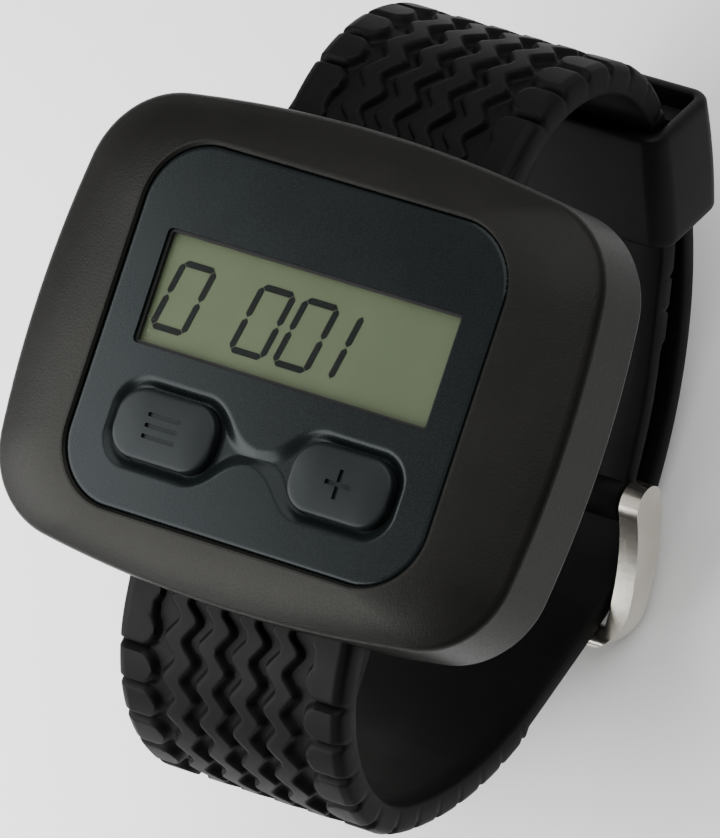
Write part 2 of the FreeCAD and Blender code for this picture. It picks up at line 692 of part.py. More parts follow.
def spring_bar_tip(x_side, y_side):
    """Sprung tip that reaches into a hole in the case beside the strap."""
    y = y_side * LUG_BAR_Y
    z = height(LUG_BAR_DROP)
    shoulder_end = BAR_HALF - BAR_LIP
    low = shoulder_end - SHOULDER_LENGTH
    high = STRAP_HALF + LUG_GAP + TIP_REACH
    shoulder = bar_along_x(SHOULDER_RADIUS, low, shoulder_end, 0, 0)
    tip = bar_along_x(TIP_RADIUS, low, high, 0, 0)
    tip = tip.makeFillet(0.15, [e for e in tip.Edges if e.BoundBox.XMin > high - 0.01])
    pin = fuse([shoulder, tip])
    if x_side < 0:
        pin.rotate(V(0, 0, 0), Z_AXIS, 180)
    pin.translate(V(0, y, z))
    return pin


def spring_bar_springs():
    """Coils between the two tips of each bar, at the length they have with both tips pushed in."""
    springs = []
    pitch = 0.55
    for side in (1, -1):
        helix = Part.makeHelix(pitch, 2 * SPRING_HALF, 0.4)
        wire_section = Part.Wire(Part.makeCircle(0.12, V(0.4, 0, 0), Y_AXIS))
        coil = Part.Wire(helix).makePipeShell([wire_section], True, True)
        coil.rotate(V(0, 0, 0), Y_AXIS, 90)
        coil.translate(V(-SPRING_HALF, side * LUG_BAR_Y, height(LUG_BAR_DROP)))
        springs.append(coil)
    return Part.makeCompound(springs)


def bow(offset):
    """Points of the bowed side of the buckle, moved a distance outwards from its middle line."""
    y, z = pivot_point()
    ends = ((y, z, BUCKLE_EYE), (BOW_Y, height(BOW_DROP), SIDE_BAR_HALF),
            (FAR_BAR_Y, height(FAR_BAR_DROP), FAR_BAR_RADIUS))
    run = buckle_run()
    lean = 0.32
    points = []
    for (py, pz, half), tilt in zip(ends, (lean, 0.0, -lean)):
        angle = run + tilt + math.pi / 2
        points.append(V(0, py + offset * half * math.cos(angle), pz + offset * half * math.sin(angle)))
    return points


def buckle_run():
    """Direction from the pivot to the far bar, as an angle from +Y."""
    y, z = pivot_point()
    return math.atan2(height(FAR_BAR_DROP) - z, FAR_BAR_Y - y)


def buckle_prism(half_x, margin, corner):
    """Block through the buckle's plane, from behind the pivot to a margin past the far bar."""
    y, z = pivot_point()
    length = math.hypot(FAR_BAR_Y - y, height(FAR_BAR_DROP) - z) + margin
    behind = 8.0
    block = Part.makeBox(2 * half_x, behind + length, 20, V(-half_x, -behind, -10))
    ends = [e for e in block.Edges if e.BoundBox.YMin > length - 0.01 and e.BoundBox.ZLength > 19]
    block = block.makeFillet(corner, ends)
    block.rotate(V(0, 0, 0), X_AXIS, math.degrees(buckle_run()))
    block.translate(V(0, y, z))
    return block


def buckle_frame():
    """D-shaped frame: two bowed sides that taper into the far bar, with rounded corners."""
    outer_half = BUCKLE_INNER_HALF + BUCKLE_BAR_WIDTH
    inner = bow(-1)
    outer = bow(1)
    y, z = pivot_point()
    edges = [Part.Arc(*inner).toShape(), Part.LineSegment(inner[2], outer[2]).toShape(),
             Part.Arc(outer[2], outer[1], outer[0]).toShape(), Part.LineSegment(outer[0], inner[0]).toShape()]
    sheet = Part.Face(Part.Wire(edges)).extrude(V(2 * outer_half, 0, 0))
    sheet.translate(V(-outer_half, 0, 0))
    eye = bar_along_x(BUCKLE_EYE, -outer_half, outer_half, y, z)
    far_bar = bar_along_x(FAR_BAR_RADIUS, -outer_half, outer_half, FAR_BAR_Y, height(FAR_BAR_DROP))
    sides = fuse([sheet, eye]).cut(buckle_prism(BUCKLE_INNER_HALF, FAR_BAR_RADIUS / 2, BUCKLE_INNER_CORNER))
    frame = fuse([sides, far_bar]).common(buckle_prism(outer_half, BUCKLE_END_MARGIN, BUCKLE_OUTER_CORNER))
    return frame.cut(bar_along_x(PIVOT_RADIUS, -outer_half + 0.5, outer_half - 0.5, y, z))


def buckle_bar():
    y, z = pivot_point()
    half = BUCKLE_INNER_HALF + BUCKLE_BAR_WIDTH - 0.5
    return bar_along_x(PIVOT_RADIUS, -half, half, y, z)


def buckle_prong():
    """Ring around the buckle bar with a flat tongue that rests on the far bar."""
    y, z = pivot_point()
    half = PRONG_THICKNESS / 2
    tongue = Part.makeBox(2 * PRONG_HALF, PRONG_REACH, PRONG_THICKNESS, V(-PRONG_HALF, 0, -half))
    tip = [e for e in tongue.Edges if e.BoundBox.YMin > PRONG_REACH - 0.01]
    tongue = tongue.makeFillet(0.5, tip)
    tongue.rotate(V(0, 0, 0), X_AXIS, PRONG_ANGLE)
    tongue.translate(V(0, y, z))
    ring = bar_along_x(PRONG_RING, -PRONG_HALF, PRONG_HALF, y, z)
    return fuse([tongue, ring]).cut(bar_along_x(PIVOT_RADIUS + 0.06, -5, 5, y, z))


def keeper():
    """Wide sleeve that holds the tail against the upper strap."""
    outer = Part.makeBox(2 * KEEPER_HALF_WIDTH, KEEPER_LENGTH, KEEPER_DEPTH,
                         V(-KEEPER_HALF_WIDTH, -KEEPER_LENGTH / 2, -KEEPER_DEPTH / 2))
    inner_half = KEEPER_HALF_WIDTH - KEEPER_WALL
    inner_depth = KEEPER_DEPTH - 2 * KEEPER_WALL
    inner = Part.makeBox(2 * inner_half, KEEPER_LENGTH + 2, inner_depth,
                         V(-inner_half, -KEEPER_LENGTH / 2 - 1, -inner_depth / 2))
    outer = outer.makeFillet(KEEPER_RADIUS, along_y(outer))
    inner = inner.makeFillet(KEEPER_RADIUS - KEEPER_WALL, along_y(inner))
    sleeve = outer.cut(inner)
    sleeve.rotate(V(0, 0, 0), X_AXIS, KEEPER_ANGLE)
    sleeve.translate(V(0, KEEPER_Y, height(KEEPER_DROP)))
    return sleeve


def along_y(block):
    return [e for e in block.Edges if abs(e.tangentAt(e.FirstParameter).y) > 0.99]


def main():
    os.makedirs("parts", exist_ok=True)
    lcd_top = height(LCD_DROP)
    save(front_shell(), "front_shell")
    save(face_panel(), "face_panel")
    save(window_frame(), "window_frame")
    save(display_window(), "display_window")
    save(lcd_segments(), "lcd_segments")
    save(lcd_sheet(lcd_top, LCD_SHEET, 0), "lcd_front_glass")
    save(lcd_sheet(lcd_top - LCD_SHEET, LCD_SHEET, LCD_LEDGE), "lcd_rear_glass")
    save(lcd_sheet(lcd_top - 2 * LCD_SHEET, LCD_BACK, LCD_LEDGE), "lcd_reflector")
    save(contact_strip(), "contact_strip")
    for name, x in (("mode", -BUTTON_X), ("count", BUTTON_X)):
        save(button(x), name + "_button")
        save(switch_plunger(x), name + "_switch_plunger")
    save(Part.makeCompound(both_buttons(switch_body)), "switch_bodies")
    save(module_frame(), "module_frame")
    save(circuit_board(), "circuit_board")
    save(controller_chip(), "controller_chip")
    save(chip_capacitors(), "chip_capacitors")
    save(battery_tray(), "battery_tray")
    save(module_screws(), "module_screws")
    save(coin_cell(), "coin_cell")
    save(battery_contact(), "battery_contact")
    save(battery_clip(), "battery_clip")
    save(case_gasket(), "case_gasket")
    save(back_cover(), "back_cover")
    save(case_screws(), "case_screws")
    save(strap_top(), "strap_top")
    save(strap_bottom(), "strap_bottom")
    save(spring_bar_tubes(), "spring_bar_tubes")
    save(spring_bar_springs(), "spring_bar_springs")
    for row, y_side in (("top", 1), ("bottom", -1)):
        for hand, x_side in (("left", -1), ("right", 1)):
            save(spring_bar_tip(x_side, y_side), row + "_" + hand + "_bar_tip")
    save(buckle_frame(), "buckle_frame")
    save(buckle_bar(), "buckle_bar")
    save(buckle_prong(), "buckle_prong")
    save(keeper(), "keeper")


main()
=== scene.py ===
import json
import math
import bmesh
import bpy
from mathutils import Matrix, Vector


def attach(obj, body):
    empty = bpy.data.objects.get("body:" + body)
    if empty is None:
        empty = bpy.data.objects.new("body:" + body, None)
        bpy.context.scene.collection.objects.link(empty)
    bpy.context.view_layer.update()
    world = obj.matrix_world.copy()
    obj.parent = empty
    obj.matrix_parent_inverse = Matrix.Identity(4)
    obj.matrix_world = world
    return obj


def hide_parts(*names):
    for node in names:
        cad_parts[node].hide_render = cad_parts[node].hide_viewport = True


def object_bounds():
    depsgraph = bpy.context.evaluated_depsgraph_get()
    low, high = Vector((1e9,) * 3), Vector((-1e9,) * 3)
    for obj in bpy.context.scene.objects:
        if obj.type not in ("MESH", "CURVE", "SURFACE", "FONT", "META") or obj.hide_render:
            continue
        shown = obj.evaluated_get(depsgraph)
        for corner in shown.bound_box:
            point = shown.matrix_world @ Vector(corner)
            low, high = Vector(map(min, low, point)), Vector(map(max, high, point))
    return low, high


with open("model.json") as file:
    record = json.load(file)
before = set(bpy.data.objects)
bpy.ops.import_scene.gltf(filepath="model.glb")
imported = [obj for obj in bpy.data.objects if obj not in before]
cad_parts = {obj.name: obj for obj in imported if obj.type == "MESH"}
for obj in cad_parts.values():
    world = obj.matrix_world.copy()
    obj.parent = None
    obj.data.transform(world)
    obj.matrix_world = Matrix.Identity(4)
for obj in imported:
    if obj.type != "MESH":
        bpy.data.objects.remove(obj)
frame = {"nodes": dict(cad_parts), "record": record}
nodes = frame["nodes"]
cad_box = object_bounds()

MM = 0.001

# The camera looks at TARGET from along BACK, with UP upright in the picture.
TARGET = Vector((0.00687, -0.00255, 0.0088))
BACK = Vector((0.4930, -0.0351, 0.8693))
UP = Vector((-0.2567, 0.9488, 0.1839))
CAMERA_DISTANCE = 0.9
CAMERA_LENS = 439.4

# Sizes in millimetres. The middle of the flat case back is the origin and the face looks along +Z.
PANEL_HALF = (19.03, 16.78)
PANEL_RADIUS = 6.18
PANEL_TOP = 12.6
PANEL_BOTTOM = 11.8
PANEL_STEP = 0.15
PANEL_SPARE = 0.3
RIM_WIDTH = 0.35
RIM_FALL = 0.3
WINDOW_Y = 3.3
WINDOW_HALF = (15.6, 5.35)
BUTTON_X = 9.35
BUTTON_Y = -8.8
BUTTON_HALF = (5.2, 3.2)
BUTTON_RADIUS = 2.6
BUTTON_CROWN = 13.3
BUTTON_GAP = 0.15
FLANGE_REACH = 0.7
FLANGE_LOW = 11.2
FLANGE_HIGH = 11.7
KEY_SIDE_HIGH = 12.2
KEY_EDGE = 0.34
KEY_DOME = 0.16
KEY_DOME_REACH = 3.0
MARK_DEPTH = 0.3
RECESS_HALF = (6.0, 4.2)
RECESS_RADIUS = 3.1
RECESS_SLOPE = 0.75
RECESS_DEPTH = 0.5
RECESS_SOFT = 0.14
NECK_Y = -8.75
TOOL_BASE = 5
TOOL_TOP = 20
NECK_HALF = 0.62
NECK_LENGTH = 12.0
NECK_RADIUS = 0.4
NECK_BLEND = 4.2

STRAP_HALF = 12.0
STRAP_BASE = 2.0
STRAP_EDGE = 0.4
TREAD_HEIGHT = 0.9
STRAP_START_Y = 20.0
TOP_START = (3.7, -17.0)
TOP_PATH = [(3.3, 0), (16.0, -67.6), (10.3, -52.5), (9.0, 0), (3.5, -19.2), (9.0, 0), (8.0, -14.0), (4.0, 0)]
TOP_TREAD_LENGTH = 50.0
BOTTOM_START = (4.25, -13.5)
BOTTOM_PATH = [(2.9, 0), (16.5, -65.0), (5.0, -28.0), (21.0, -41.2), (10.9, 0), (8.9, -32.3), (1.7, 0),
               (29.7, -42.8), (10.0, 0)]
BOTTOM_TREAD_LENGTH = 44.0
HOLE_RADIUS = 1.1
HOLE_PITCH = 6.0
FIRST_HOLE = 47.5
HOLE_COUNT = 8
PRONG_HOLES = (2, 3)
LUG_BAR = (19.3, 5.05)
LUG_EYE = 2.1
LUG_WEDGE_HALF = 11.9
LUG_WEDGE_REACH = 3.0
EYE_BEVEL = 0.25
PIVOT = (-0.8, -33.95)
PIVOT_EYE = 2.0
FAR_BAR = (-13.3, -37.95)
SLOT_HALF = 1.3
SLOT_PAST_EYE = 4.4
SLOT_IN_STRAP = 2.8

# Tread: zigzag ribs between two columns of D-shaped blocks
RIB_CENTRES = (-5.4, -1.8, 1.8, 5.4)
RIB_HALF = 1.14
RIB_LEAN = 0.84
ZIGZAG_PERIOD = 3.3
ZIGZAG_SWING = 0.8
ZIGZAG_PEAK = 0.56
ZIGZAG_SOFT = (-0.3, -0.15, 0.0, 0.15, 0.3)
BLOCK_HALF = 1.46
BLOCK_INNER = 7.95
SHOULDER_START = 11.1
SHOULDER_FALL = 0.45
COLLAR_END = 3.9
COLLAR_INNER = 8.4
WALL = 0.5
TREAD_STEP = 0.19
TREAD_FADE = 0.6
PLAIN_STEP = 0.9

KEEPER_HALF = (13.9, 5.05)
KEEPER_LENGTH = 11.9
KEEPER_WALL = 1.4
KEEPER_CENTRE = (28.78, -22.57)
KEEPER_ANGLE = 42.8
KEEPER_RADIUS = 2.2
KEEPER_SOFT = 0.45
KEEPER_CROWN = 0.22
KEEPER_LIP = 0.24

# Bevel widths on the CAD nodes that stay in sight, in millimetres
BEVELS = {"front_shell": 0.14, "back_cover": 0.1, "buckle_frame": 0.38, "buckle_prong": 0.2}


# ---------------------------------------------------------------- meshes

def add_mesh(name, points, faces, body, smooth_angle=35.0):
    """New object from points in millimetres, which rides on a CAD body."""
    mesh = bpy.data.meshes.new(name)
    mesh.from_pydata([(x * MM, y * MM, z * MM) for x, y, z in points], [], faces)
    mesh.update()
    made = bmesh.new()
    made.from_mesh(mesh)
    bmesh.ops.recalc_face_normals(made, faces=made.faces)
    made.to_mesh(mesh)
    made.free()
    piece = bpy.data.objects.new(name, mesh)
    bpy.context.scene.collection.objects.link(piece)
    shade(mesh, smooth_angle)
    if body:
        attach(piece, body)
    return piece


def shade(mesh, angle):
    """Smooth shading, with sharp edges where faces meet at more than an angle."""
    limit = math.radians(angle)
    made = bmesh.new()
    made.from_mesh(mesh)
    for face in made.faces:
        face.smooth = True
    for edge in made.edges:
        if len(edge.link_faces) == 2:
            edge.smooth = edge.calc_face_angle(0.0) < limit
        else:
            edge.smooth = False
    made.to_mesh(mesh)
    made.free()


def join_rings(rings, closed_profile=False):
    """Faces between rings of equal length, each ring closed on itself."""
    count = len(rings[0])
    points = [p for ring in rings for p in ring]
    faces = []
    last = len(rings) if closed_profile else len(rings) - 1
    for k in range(last):
        a = k * count
        b = ((k + 1) % len(rings)) * count
        for i in range(count):
            j = (i + 1) % count
            faces.append((a + i, a + j, b + j, b + i))
    return points, faces


def cap(faces, start, count, flip=False):
    """One face over the ring of points that begins at start."""
    ring = list(range(start, start + count))
    faces.append(tuple(reversed(ring)) if flip else tuple(ring))


def cut(piece, tools, operation="DIFFERENCE"):
    """Boolean with closed tool objects, which are then removed."""
    for tool in tools:
        change = piece.modifiers.new("cut", "BOOLEAN")
        change.operation = operation
        change.solver = "EXACT"
        change.object = tool
    seen = bpy.context.evaluated_depsgraph_get()
    mesh = bpy.data.meshes.new_from_object(piece.evaluated_get(seen))
    piece.modifiers.clear()
    piece.data = mesh
    for tool in tools:
        bpy.data.objects.remove(tool)


def rounded_rectangle(half, radius, arc_steps=10, centre=(0.0, 0.0)):
    """Points round a rounded rectangle, anticlockwise."""
    points = []
    for quarter, (sx, sy) in enumerate(((1, 1), (-1, 1), (-1, -1), (1, -1))):
        for k in range(arc_steps + 1):
            angle = math.radians(90 * quarter + 90 * k / arc_steps)
            points.append((centre[0] + sx * (half[0] - radius) + radius * math.cos(angle),
                           centre[1] + sy * (half[1] - radius) + radius * math.sin(angle)))
    return points


def prism(name, outline, low, high):
    """Closed prism over an outline, used as a cutting tool."""
    rings = [[(x, y, low) for x, y in outline], [(x, y, high) for x, y in outline]]
    points, faces = join_rings(rings)
    cap(faces, 0, len(outline), True)
    cap(faces, len(outline), len(outline))
    return add_mesh(name, points, faces, None)


def smooth_step(low, high, value):
    """0 below low, 1 above high, smooth between."""
    t = min(1.0, max(0.0, (value - low) / (high - low)))
    return t * t * (3 - 2 * t)


def soft_slope(share, soft):
    """Straight slope from 0 to 1 with both corners rounded over a short run."""
    if share < soft:
        return max(share + soft, 0.0) ** 2 / (4 * soft)
    if share > 1 - soft:
        return 1 - max(1 + soft - share, 0.0) ** 2 / (4 * soft)
    return share


def box_distance(x, y, half, radius):
    """Distance outside a rounded rectangle centred on the origin, negative inside."""
    qx = abs(x) - half[0] + radius
    qy = abs(y) - half[1] + radius
    return math.hypot(max(qx, 0), max(qy, 0)) + min(max(qx, qy), 0) - radius


# ---------------------------------------------------------------- face panel and keys

def recess_distance(x, y):
    """Distance outside the goggle-shaped recess, negative inside."""
    lobe = box_distance(abs(x) - BUTTON_X, y - BUTTON_Y, RECESS_HALF, RECESS_RADIUS)
    neck = box_distance(x, y - NECK_Y, (NECK_LENGTH / 2, NECK_HALF), NECK_RADIUS)
    share = max(NECK_BLEND - abs(lobe - neck), 0.0) / NECK_BLEND
    return min(lobe, neck) - share * share * NECK_BLEND * 0.25


def panel_height(x, y):
    """Top of the panel: flat, rounded down at its rim and sloping into the recess."""
    z = PANEL_TOP
    rim = -box_distance(x, y, PANEL_HALF, PANEL_RADIUS)
    if rim < RIM_WIDTH:
        side = 1 - max(rim, 0.0) / RIM_WIDTH
        z -= RIM_FALL * (1 - math.sqrt(max(0.0, 1 - side * side)))
    depth = -recess_distance(x, y)
    if depth > -RECESS_SOFT:
        z -= RECESS_DEPTH * soft_slope(depth / RECESS_SLOPE, RECESS_SOFT / RECESS_SLOPE)
    return z


def build_panel():
    """Grid of heights that is closed below, trimmed to its outline and cut for the window and keys."""
    nx = round(2 * (PANEL_HALF[0] + PANEL_SPARE) / PANEL_STEP)
    ny = round(2 * (PANEL_HALF[1] + PANEL_SPARE) / PANEL_STEP)
    xs = [-PANEL_HALF[0] - PANEL_SPARE + k * 2 * (PANEL_HALF[0] + PANEL_SPARE) / nx for k in range(nx + 1)]
    ys = [-PANEL_HALF[1] - PANEL_SPARE + k * 2 * (PANEL_HALF[1] + PANEL_SPARE) / ny for k in range(ny + 1)]
    points = [(x, y, panel_height(x, y)) for y in ys for x in xs]
    wide = len(xs)
    faces = []
    for j in range(ny):
        for i in range(nx):
            a = j * wide + i
            faces.append((a, a + 1, a + wide + 1, a + wide))
    edge = list(range(wide))
    edge += [j * wide + nx for j in range(1, ny + 1)]
    edge += [ny * wide + i for i in range(nx - 1, -1, -1)]
    edge += [j * wide for j in range(ny - 1, 0, -1)]
    base = len(points)
    points += [(points[k][0], points[k][1], PANEL_BOTTOM) for k in edge]
    count = len(edge)
    for k in range(count):
        n = (k + 1) % count
        faces.append((edge[n], edge[k], base + k, base + n))
    cap(faces, base, count, True)
    panel = add_mesh("panel_cover", points, faces, "case")
    rim = prism("rim_tool", rounded_rectangle(PANEL_HALF, PANEL_RADIUS, 24), TOOL_BASE, TOOL_TOP)
    cut(panel, [rim], "INTERSECT")
    tools = [prism("window_tool", rounded_rectangle(WINDOW_HALF, 0.5, 6, (0, WINDOW_Y)), TOOL_BASE, TOOL_TOP)]
    hole = (BUTTON_HALF[0] + BUTTON_GAP, BUTTON_HALF[1] + BUTTON_GAP)
    for x in (-BUTTON_X, BUTTON_X):
        outline = rounded_rectangle(hole, BUTTON_RADIUS + BUTTON_GAP, 12, (x, BUTTON_Y))
        tools.append(prism("key_tool", outline, TOOL_BASE, TOOL_TOP))
    cut(panel, tools)
    shade(panel.data, 40)
    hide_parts("face_panel")
    return panel


def key_surface(inset):
    """Height of a key's top below its crown, at a distance in from its side."""
    fall = KEY_DOME * (1 - min(inset / KEY_DOME_REACH, 1.0)) ** 2
    if inset < KEY_EDGE:
        side = 1 - inset / KEY_EDGE
        fall += KEY_EDGE * (1 - math.sqrt(max(0.0, 1 - side * side)))
    return fall


def bar_outline(centre, half, radius=0.13):
    """Short bar with rounded ends."""
    return rounded_rectangle(half, min(radius, half[1], half[0]), 4, centre)


def mark_outlines(name, x):
    """Engraved marks: three lines for the menu key, a plus sign for the count key."""
    y = BUTTON_Y
    if name == "mode":
        return [bar_outline((x - 0.1, y + d), (1.75, 0.19)) for d in (-1.0, 0.0, 1.0)]
    plus = []
    arm, half = 1.35, 0.21
    for sx, sy in ((1, 1), (-1, 1), (-1, -1), (1, -1)):
        corner = [(sx * arm, sy * half), (sx * half, sy * half), (sx * half, sy * arm)]
        plus += corner if sx * sy > 0 else corner[::-1]
    return [[(x + px, y + py) for px, py in plus]]


def build_key(name, x):
    """Flange, straight side and domed top as rings, each inset from the key's outline."""
    insets = [0.0, 0.03, 0.08, 0.15, 0.25, 0.38, 0.55, 0.8, 1.2, 1.7, 2.3, 2.9]
    levels = [(-FLANGE_REACH, FLANGE_LOW), (-FLANGE_REACH, FLANGE_HIGH)]
    levels += [(0.0, FLANGE_HIGH), (0.0, KEY_SIDE_HIGH)]
    levels += [(t, BUTTON_CROWN - key_surface(t)) for t in insets]
    rings = []
    for inset, z in levels:
        half = (BUTTON_HALF[0] - inset, BUTTON_HALF[1] - inset)
        radius = max(BUTTON_RADIUS - 0.62 * inset, 0.15)
        outline = rounded_rectangle(half, min(radius, half[1]), 12, (x, BUTTON_Y))
        rings.append([(px, py, z) for px, py in outline])
    points, faces = join_rings(rings)
    count = len(rings[0])
    cap(faces, 0, count, True)
    cap(faces, len(points) - count, count)
    key = add_mesh(name + "_key_cap", points, faces, name + "_key")
    tools = [prism("mark_tool", outline, BUTTON_CROWN - MARK_DEPTH, TOOL_TOP)
             for outline in mark_outlines(name, x)]
    cut(key, tools)
    shade(key.data, 38)
    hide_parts(name + "_button")
    return key


# ---------------------------------------------------------------- straps

def strap_frames(start, path, side):
    """Start point, heading and shape of each piece of a strap half."""
    y = STRAP_START_Y
    z, heading = start
    angle = math.radians(heading)
    pieces = []
    for length, turn in path:
        bend = math.radians(turn)
        pieces.append((y, z, angle, length, bend, side))
        if bend:
            radius = length / bend
            y += radius * (math.sin(angle + bend) - math.sin(angle))
            z -= radius * (math.cos(angle + bend) - math.cos(angle))
        else:
            y += length * math.cos(angle)
            z += length * math.sin(angle)
        angle += bend
    return pieces


def strap_place(pieces, along):
    """Point on the wrist side at a distance along the strap, and the direction out from it."""
    done = 0.0
    for y, z, angle, length, bend, side in pieces:
        if along <= done + length or pieces[-1][:2] == (y, z):
            run = min(max(along - done, 0.0), length)
            turned = angle + bend * run / length
            if bend:
                radius = length / bend
                y += radius * (math.sin(turned) - math.sin(angle))
                z -= radius * (math.cos(turned) - math.cos(angle))
            else:
                y += run * math.cos(angle)
                z += run * math.sin(angle)
            return side * y, z, -side * math.sin(turned), math.cos(turned)
        done += length
    return None


def zigzag(along):
    """Sideways offset of the ribs, rising for part of each period and falling for the rest."""
    total = 0.0
    for shift in ZIGZAG_SOFT:
        t = ((along + shift) / ZIGZAG_PERIOD) % 1.0
        if t < ZIGZAG_PEAK:
            total += 2 * t / ZIGZAG_PEAK - 1
        else:
            total += 1 - 2 * (t - ZIGZAG_PEAK) / (1 - ZIGZAG_PEAK)
    return ZIGZAG_SWING * total / len(ZIGZAG_SOFT)


def tread(x, along):
    """Share of the tread's full height at a point on the strap's outer side."""
    offset = zigzag(along)
    nearest = min((abs(x - c - offset) - RIB_HALF) * RIB_LEAN for c in RIB_CENTRES)
    v = along % ZIGZAG_PERIOD - ZIGZAG_PERIOD / 2
    reach = BLOCK_INNER + BLOCK_HALF
    if abs(x) >= reach:
        block = abs(v) - BLOCK_HALF
    else:
        block = math.hypot(reach - abs(x), v) - BLOCK_HALF
    nearest = min(nearest, block)
    if along < COLLAR_END + WALL:
        nearest = min(nearest, max(along - COLLAR_END, COLLAR_INNER - abs(x)))
    return 1 - smooth_step(-WALL / 2, WALL / 2, nearest)


def outer_height(x, along, tread_length, side):
    """Thickness of the strap at a point, with its tread and its rounded edges."""
    height = STRAP_BASE
    if along < tread_length:
        fade = min(1.0, (tread_length - along) / TREAD_FADE)
        high = TREAD_HEIGHT * tread(side * x, along) * fade
        over = max(abs(x) - SHOULDER_START, 0.0)
        height += high * (1 - SHOULDER_FALL * over / (STRAP_HALF - SHOULDER_START))
    edge = STRAP_HALF - abs(x)
    if edge < STRAP_EDGE:
        lean = 1 - edge / STRAP_EDGE
        height -= STRAP_EDGE * (1 - math.sqrt(max(0.0, 1 - lean * lean)))
    return height


def strap_ring(pieces, along, tread_length, side, columns):
    """Closed cross-section: outer side left to right, then the wrist side right to left."""
    y, z, ny, nz = strap_place(pieces, along)
    ring = []
    for x in columns:
        h = outer_height(x, along, tread_length, side)
        ring.append((x, y + h * ny, z + h * nz))
    inner = [(STRAP_HALF, 0.3), (STRAP_HALF - 0.1, 0.1), (STRAP_HALF - 0.35, 0.0)]
    inner += [(k * 2.4, 0.0) for k in range(4, -5, -1)]
    inner += [(-x, h) for x, h in inner[2::-1]]
    for x, h in inner:
        ring.append((x, y + h * ny, z + h * nz))
    return ring


def strap_mesh(pieces, stations, tread_length, side):
    """Closed run of strap through the given distances along it."""
    half = round(STRAP_HALF / TREAD_STEP)
    columns = [STRAP_HALF * k / half for k in range(-half, half + 1)]
    rings = [strap_ring(pieces, s, tread_length, side, columns) for s in stations]
    points, faces = join_rings(rings)
    count = len(rings[0])
    cap(faces, 0, count, True)
    cap(faces, len(points) - count, count)
    return points, faces


def spaced(low, high, step):
    """Even places from low to high, about a step apart."""
    count = max(1, round((high - low) / step))
    return [low + (high - low) * k / count for k in range(count + 1)]


def eye_points(y, z, radius, low_x, high_x, steps=40):
    """Closed cylinder along X with small edge rounding."""
    ends = ((low_x, radius - EYE_BEVEL), (low_x + EYE_BEVEL, radius),
            (high_x - EYE_BEVEL, radius), (high_x, radius - EYE_BEVEL))
    rings = []
    for x, r in ends:
        ring = []
        for k in range(steps):
            turn = 2 * math.pi * k / steps
            ring.append((x, y + r * math.cos(turn), z + r * math.sin(turn)))
        rings.append(ring)
    points, faces = join_rings(rings)
    cap(faces, 0, steps, True)
    cap(faces, len(points) - steps, steps)
    return points, faces


def lug_points(pieces, side):
    """Wedge that runs from the spring bar's eye into the strap."""
    y, z = LUG_BAR
    away = pieces[0][3] + LUG_WEDGE_REACH
    py, pz, ny, nz = strap_place(pieces, away)
    outline = [(side * y, z + LUG_EYE), (py + ny * (STRAP_BASE + 0.1), pz + nz * (STRAP_BASE + 0.1)),
               (py, pz), (side * y, z - LUG_EYE)]
    points = [(x, a, b) for x in (-LUG_WEDGE_HALF, LUG_WEDGE_HALF) for a, b in outline]
    faces = [(0, 1, 2, 3), (7, 6, 5, 4)]
    faces += [(k, (k + 1) % 4, (k + 1) % 4 + 4, k + 4) for k in range(4)]
    return points, faces


def append(whole, part):
    """Adds one closed set of points and faces to another."""
    base = len(whole[0])
    whole[0].extend(part[0])
    whole[1].extend([tuple(base + k for k in face) for face in part[1]])


def tube_tool(start, end, radius, steps=24):
    """Closed cylinder between two points, used as a cutting tool."""
    axis = (Vector(end) - Vector(start)).normalized()
    across = Vector((1, 0, 0))
    other = axis.cross(across)
    rings = []
    for place in (Vector(start), Vector(end)):
        ring = []
        for k in range(steps):
            turn = 2 * math.pi * k / steps
            ring.append(tuple(place + radius * (math.cos(turn) * across + math.sin(turn) * other)))
        rings.append(ring)
    points, faces = join_rings(rings)
    cap(faces, 0, steps, True)
    cap(faces, steps, steps)
    return add_mesh("hole_tool", points, faces, None)


def build_strap(name, start, path, side, tread_length, node, tools, extra):
    """Tread part with a fine grid, then the smooth part with its holes cut through it."""
    pieces = strap_frames(start, path, side)
    total = sum(p[3] for p in pieces)
    fine = strap_mesh(pieces, spaced(0, tread_length, TREAD_STEP), tread_length, side)
    plain = strap_mesh(pieces, spaced(tread_length, total, PLAIN_STEP), tread_length, side)
    tail = add_mesh(name + "_tail", plain[0], plain[1], None)
    cut(tail, tools(pieces))
    whole = (list(fine[0]), list(fine[1]))
    append(whole, lug_points(pieces, side))
    append(whole, eye_points(side * LUG_BAR[0], LUG_BAR[1], LUG_EYE, -STRAP_HALF, STRAP_HALF))
    for part in extra:
        append(whole, part)
    tail_points = [(v.co.x / MM, v.co.y / MM, v.co.z / MM) for v in tail.data.vertices]
    append(whole, (tail_points, [tuple(f.vertices) for f in tail.data.polygons]))
    bpy.data.objects.remove(tail)
    strap = add_mesh(name, whole[0], whole[1], "case", 50)
    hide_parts(node)
    return strap


def top_tools(pieces):
    """Slot for the prong between the two eyes at the buckle."""
    y, z = PIVOT
    low = y - SLOT_PAST_EYE
    high = y + SLOT_IN_STRAP
    outline = [(-SLOT_HALF, low), (SLOT_HALF, low), (SLOT_HALF, high), (-SLOT_HALF, high)]
    return [prism("slot_tool", outline, z - 5, z + 5)]


def bottom_tools(pieces):
    """Round holes, and one long slot where the prong goes through."""
    tools = []
    for k in range(HOLE_COUNT):
        if k in PRONG_HOLES:
            continue
        y, z, ny, nz = strap_place(pieces, FIRST_HOLE + k * HOLE_PITCH)
        tools.append(tube_tool((0, y - ny, z - nz), (0, y + 5 * ny, z + 5 * nz), HOLE_RADIUS))
    low = FAR_BAR[0] + 2.0
    high = PIVOT[0] + 2.4
    outline = rounded_rectangle((SLOT_HALF, (high - low) / 2), 1.2, 8, (0, (low + high) / 2))
    tools.append(prism("slot_tool", outline, PIVOT[1] - 8, PIVOT[1] - 2.5))
    return tools


